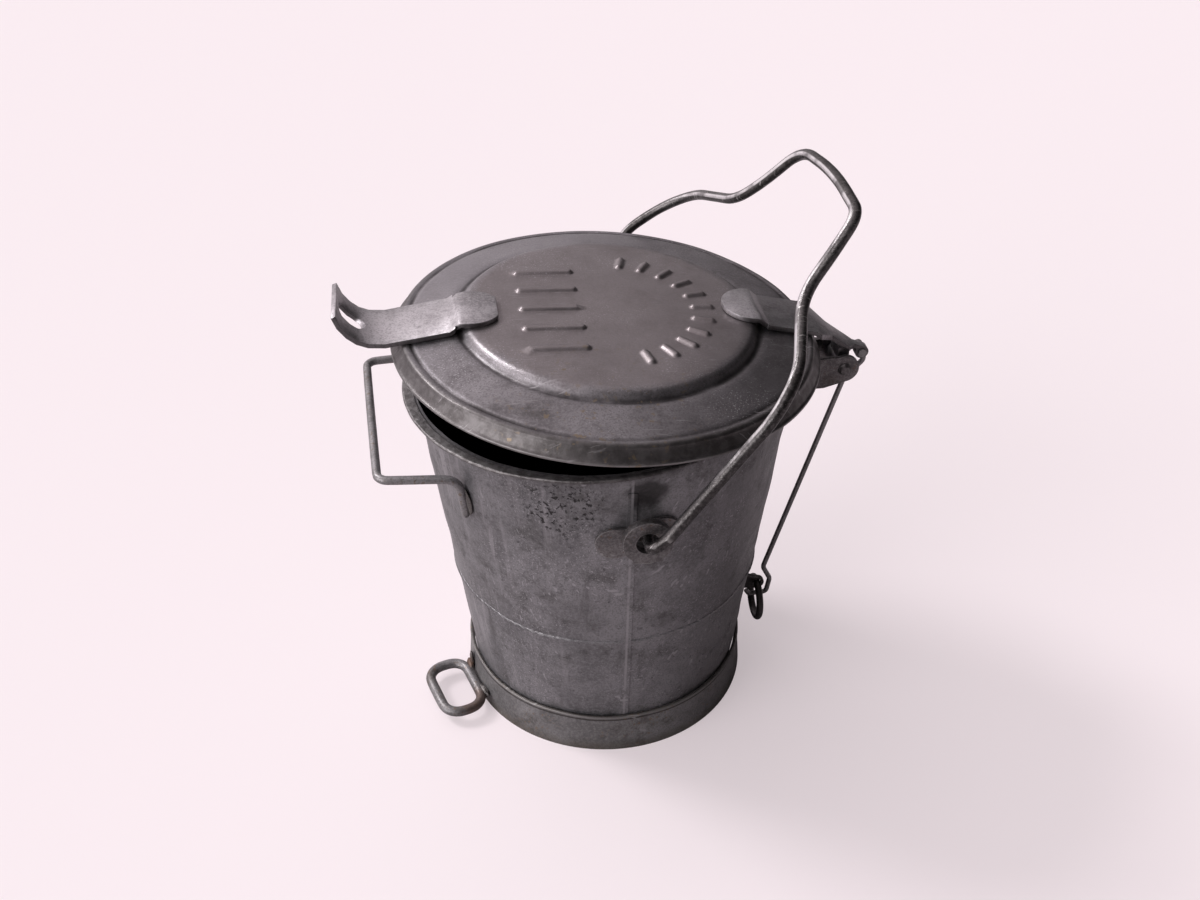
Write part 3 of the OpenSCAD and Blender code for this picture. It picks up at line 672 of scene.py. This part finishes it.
# Painted shade: the lid is darkened toward the right, away from the light.
right_shade = ramp(tree, calc(tree, "ADD", calc(tree, "SUBTRACT", x, calc(
    tree, "MULTIPLY", y, 0.6)), calc(tree, "MULTIPLY", cloud(tree, at, 16.0), 0.06)),
    0.12, 0.24)
colour = tint(tree, calc(tree, "MULTIPLY", right_shade, 0.70), colour, (0.062, 0.057, 0.060, 1))
pale_specks = lay(tree, specks, at, Scale=640.0, Patch_scale=9.0, Amount=0.75)
colour = tint(tree, pale_specks.outputs["Mask"], colour, (0.46, 0.44, 0.46, 1))
# Painted shade: a dark line in the crease at the foot of the step.
step_crease_shade = ramp(tree, calc(tree, "ABSOLUTE", calc(tree, "SUBTRACT", away, cone_r + 0.001)),
              0.0008, 0.0045, 1.0, 0.0)
colour = tint(tree, calc(tree, "MULTIPLY", step_crease_shade, ramp(
    tree, cloud(tree, at, 30.0), 0.30, 0.60, 0.35, 0.85)), colour, (0.030, 0.027, 0.028, 1))
rim = ramp(tree, away, shoulder_r - 0.004, shoulder_r + 0.001)
olive = tint(tree, ramp(tree, cloud(tree, at, 110.0, 6.0), 0.36, 0.66),
             (0.070, 0.064, 0.062, 1), (0.125, 0.117, 0.116, 1))
colour = tint(tree, calc(tree, "MULTIPLY", rim, 0.85), colour, olive)
# Painted shade: a dark line in the crease just inside the shoulder roll.
shoulder_crease_shade = ramp(tree, calc(tree, "ABSOLUTE", calc(tree, "SUBTRACT", away, shoulder_r - 0.0063)),
                0.0006, 0.0030, 1.0, 0.0)
colour = tint(tree, calc(tree, "MULTIPLY", shoulder_crease_shade, ramp(
    tree, cloud(tree, at, 24.0), 0.34, 0.58, 0.25, 0.8)), colour, (0.034, 0.030, 0.030, 1))
# Painted highlight: a pale line along the rolled hem.
hem_highlight = ramp(tree, away, hem_r + 0.0012, hem_r + 0.0024)
colour = tint(tree, calc(tree, "MULTIPLY", hem_highlight, ramp(
    tree, cloud(tree, at, 30.0), 0.36, 0.56, 0.2, 0.9)), colour, (0.24, 0.23, 0.23, 1))
tan_place = patch_at(tree, at, tan_at, 100 * MM)
tan = lay(tree, specks, at, Scale=170.0, Patch_scale=34.0, Amount=0.8)
colour = tint(tree, calc(tree, "MULTIPLY", tan.outputs["Mask"], tan_place), colour,
              (0.21, 0.165, 0.115, 1))
stain = patch_at(tree, at, stained_at, 7 * MM)
colour = tint(tree, calc(tree, "MULTIPLY", stain, 0.9), colour, (0.045, 0.043, 0.055, 1))
marks = lay(tree, scratches, at, Amount=0.5)
colour = tint(tree, marks.outputs["Mask"], colour, (0.34, 0.325, 0.335, 1))
close_finish(tree, shader, colour, base.outputs["Roughness"], base.outputs["Height"],
             0.35 * MM)


def arc(cx, cz, r, first, last, steps):
    """Points on an arc of the section, by angles in degrees."""
    return [(cx + r * math.cos(math.radians(first + (last - first) * k / steps)),
             cz + r * math.sin(math.radians(first + (last - first) * k / steps)))
            for k in range(steps + 1)]


def line(start, end, steps):
    return [(start[0] + (end[0] - start[0]) * k / steps,
             start[1] + (end[1] - start[1]) * k / steps) for k in range(1, steps)]


bead = 2.1 * MM
hem_z = -skirt_h + bead
section = arc(hem_r - bead, hem_z, bead, -160, 75, 10)
section += line(section[-1], (shoulder_r + 2.1 * MM, -3.6 * MM), 5)
section += arc(shoulder_r - 3.0 * MM, -4.2 * MM, 5.0 * MM, 8, 104, 8)
section += [(shoulder_r - 6.4 * MM, 0.0), (shoulder_r - 7.6 * MM, 0.1 * MM),
            (shoulder_r - 9.4 * MM, 1.3 * MM)]
section += line(section[-1], (cone_r + 5 * MM, cone_h - 0.4 * MM), 12)
section += [(cone_r + 3.2 * MM, cone_h - 0.9 * MM), (cone_r + 1.6 * MM, cone_h - 1.1 * MM),
            (cone_r - 0.2 * MM, cone_h - 0.3 * MM), (cone_r - 2 * MM, cone_h + 1.4 * MM),
            (cone_r - 3.6 * MM, cone_h + 3.6 * MM), (plateau_r + 1.6 * MM, cone_h + 5.6 * MM),
            (plateau_r - 0.2 * MM, cone_h + 7.0 * MM), (plateau_r - 2.4 * MM, cone_h + 7.8 * MM)]
top_from = plateau_r - 4.5 * MM
rows = line((top_from, 0), (112 * MM, 0), 6) + line((112 * MM, 0), (30 * MM, 0), 58)
rows += line((30 * MM, 0), (0, 0), 6) + [(0, 0)]
section += [(r, cone_h + step_h + dome * (1 - (r / top_from) ** 2)) for r, _ in rows]

bm = bmesh.new()
verts = [bm.verts.new((r, 0, h)) for r, h in section]
chain = [bm.edges.new(pair) for pair in zip(verts, verts[1:])]
bmesh.ops.spin(bm, geom=verts + chain, cent=(0, 0, 0), axis=(0, 0, 1),
               angle=math.tau, steps=360, use_merge=True)
bmesh.ops.remove_doubles(bm, verts=bm.verts, dist=0.01 * MM)

bar_x, bar_half, bar_pitch, rib_r, rib_half, rib_n = (
    -57 * MM, 25.5 * MM, 36 * MM, 92 * MM, 8 * MM, 11)
emboss, slope_run = 3.0 * MM, 3.0 * MM
bar_radius, rib_radius = 5.6 * MM, 4.7 * MM
strokes = [(Vector((bar_x - bar_half, i * bar_pitch)), Vector((bar_x + bar_half, i * bar_pitch)),
            bar_radius) for i in range(-2, 3)]
for i in range(rib_n):
    way = Vector((1, 0))
    way.rotate(Matrix.Rotation(math.radians(-75 + 15 * i), 2))
    strokes.append((way * (rib_r - rib_half), way * (rib_r + rib_half), rib_radius))
for vert in bm.verts:
    flat = Vector((vert.co.x, vert.co.y))
    if flat.length < plateau_r - 5 * MM:
        inner = max(
            half - (flat - a - (b - a) * max(0, min(1, (flat - a).dot(b - a)
                                                    / (b - a).length_squared))).length
            for a, b, half in strokes)
        rise = min(1.0, max(0.0, inner / slope_run))
        vert.co.z += emboss * rise * rise * (3 - 2 * rise)
    vert.co.z += 0.7 * MM * noise.noise(vert.co / (70 * MM)) * (flat.length < shoulder_r)
bmesh.ops.recalc_face_normals(bm, faces=bm.faces)
bmesh.ops.transform(bm, matrix=lid_place, verts=bm.verts)
lid_piece = show(bm, "lid_sheet", lid_zinc, "lid", "lid_shell", sharp=math.radians(60))
gauge = lid_piece.modifiers.new("sheet", "SOLIDIFY")
gauge.thickness = sheet
gauge.offset = -1.0


# ---- Straps --------------------------------------------------------------
# The front tongue and the hinge strap are forged flat and riveted through
# the lid. Their side faces and their rear are painted dark as shade, and
# their faces are rubbed to a grey sheen.

strap_steel, tree, shader, at = new_finish("strap steel", 0.7)
base = lay(tree, old_zinc, at, Pale=(0.50, 0.474, 0.495, 1), Dark=(0.240, 0.226, 0.236, 1),
           Grime=(0.060, 0.052, 0.050, 1), Grime_amount=0.5, Gloss=0.36)
pale_specks = lay(tree, specks, at, Scale=520.0, Patch_scale=12.0, Amount=0.7)
colour = tint(tree, pale_specks.outputs["Mask"], base.outputs["Color"],
              (0.44, 0.42, 0.44, 1))
marks = lay(tree, scratches, at, Amount=0.8)
colour = tint(tree, marks.outputs["Mask"], colour, (0.42, 0.405, 0.415, 1))
edges = lay(tree, worn_edges, at, Amount=0.7)
colour = tint(tree, edges.outputs["Mask"], colour, (0.46, 0.445, 0.45, 1))
# Painted shade: the straps are darkened toward the rear, on the right, away from the light.
rear = ramp(tree, axes(tree, at)["X"], 0.0, 0.1, 0.0, 0.26)
colour = tint(tree, rear, colour, (0.075, 0.069, 0.070, 1))
# Painted shade: the straps' side faces, turned across the light, are darkened.
facing_side = axes(tree, add(tree, "ShaderNodeTexCoord").outputs["Normal"])["Y"]
flank_shade = ramp(tree, calc(tree, "ABSOLUTE", facing_side), 0.82, 0.97, 0.0, 0.75)
colour = tint(tree, flank_shade, colour, (0.048, 0.043, 0.043, 1))
close_finish(tree, shader, colour, base.outputs["Roughness"], base.outputs["Height"],
             0.5 * MM)
for name in ("front_tongue", "hinge_strap"):
    bm = welded_copy(name)
    eased(bm, width=0.9 * MM, least=math.radians(50))
    show(bm, name + "_forged", strap_steel, "lid", name)


# ---- Handle and foot grip ------------------------------------------------
# Both are bent from round galvanised bar and soldered on, and they have
# stayed paler than the wall, with brown joints.

brown_joint_at = (-0.150, -0.083, 0.016)

bar_zinc, tree, shader, at = new_finish("bar zinc", 0.45)
base = lay(tree, old_zinc, at, Pale=(0.27, 0.258, 0.265, 1), Dark=(0.13, 0.124, 0.126, 1),
           Grime=(0.070, 0.052, 0.040, 1), Grime_amount=0.6, Gloss=0.40)
brown = lay(tree, specks, at, Scale=240.0, Patch_scale=60.0, Amount=0.6)
colour = tint(tree, brown.outputs["Mask"], base.outputs["Color"], (0.15, 0.09, 0.05, 1))
joint = patch_at(tree, at, brown_joint_at, 22 * MM)
colour = tint(tree, calc(tree, "MULTIPLY", joint, 0.7), colour, (0.100, 0.062, 0.045, 1))
close_finish(tree, shader, colour, base.outputs["Roughness"], base.outputs["Height"],
             0.5 * MM)


def rounded_wire(name, piece_name, finish, body):
    """A bar's facets joined to four-sided faces and rounded by subdivision."""
    bm = welded_copy(name)
    bmesh.ops.join_triangles(bm, faces=bm.faces, angle_face_threshold=math.radians(12),
                             angle_shape_threshold=math.radians(60))
    piece = show(bm, piece_name, finish, body, name, sharp=math.radians(70))
    rounding = piece.modifiers.new("round bar", "SUBSURF")
    rounding.levels = rounding.render_levels = 1
    return piece


rounded_wire("front_handle", "hand_bar", bar_zinc, "bucket")
rounded_wire("foot_grip", "foot_link", bar_zinc, "bucket")


# ---- Solder --------------------------------------------------------------
# Lumps of solder hold the foot link to the hoop and the handle's ends to the
# wall. They are grey-brown and rough, and one has a rusty tab in it.

rusty_tab_at = (-0.158, -0.022, 0.022)

solder_grey, tree, shader, at = new_finish("old solder", 0.45)
base = lay(tree, old_zinc, at, Pale=(0.165, 0.155, 0.152, 1), Dark=(0.085, 0.078, 0.074, 1),
           Grime=(0.070, 0.045, 0.030, 1), Grime_amount=0.7, Gloss=0.46)
rust = patch_at(tree, at, rusty_tab_at, 12 * MM)
colour = tint(tree, calc(tree, "MULTIPLY", rust, 0.75), base.outputs["Color"],
              (0.110, 0.058, 0.036, 1))
close_finish(tree, shader, colour, base.outputs["Roughness"], base.outputs["Height"],
             0.6 * MM)


def lump(bm, radius, angle, z, sizes, lean=0.0):
    """A rough lump at that radius, angle and height: its half sizes run outward,
    along the wall and up."""
    made = bmesh.ops.create_icosphere(bm, subdivisions=4, radius=1.0)["verts"]
    place = (Matrix.Rotation(math.radians(angle), 4, "Z")
             @ Matrix.Translation((radius, 0, z)) @ Matrix.Rotation(lean, 4, "Y")
             @ Matrix.Diagonal((*sizes, 1.0)))
    for vert in made:
        vert.co *= 1 + 0.22 * noise.noise(vert.co * 1.7 + Vector((angle, 0, 0)))
        vert.co = place @ vert.co


link_angle, hoop_r = 197, 160  # degrees round the axis, millimetres
handle_half_angle = 36
bm = bmesh.new()
for along, high in ((-20, 15), (24, 16.5)):
    lump(bm, 157.0 * MM, link_angle - math.degrees(along / hoop_r), high * MM,
         (4.0 * MM, 10 * MM, 5.2 * MM))
lump(bm, 155.4 * MM, link_angle - math.degrees(24 / hoop_r), 26 * MM,
     (1.9 * MM, 6 * MM, 11 * MM))
for side in (-handle_half_angle, handle_half_angle):
    lump(bm, 182.2 * MM, 180 + side, 318 * MM, (2.6 * MM, 7.6 * MM, 19 * MM),
         math.atan(wall_flare))
show(bm, "solder_lumps", solder_grey, "bucket", None)
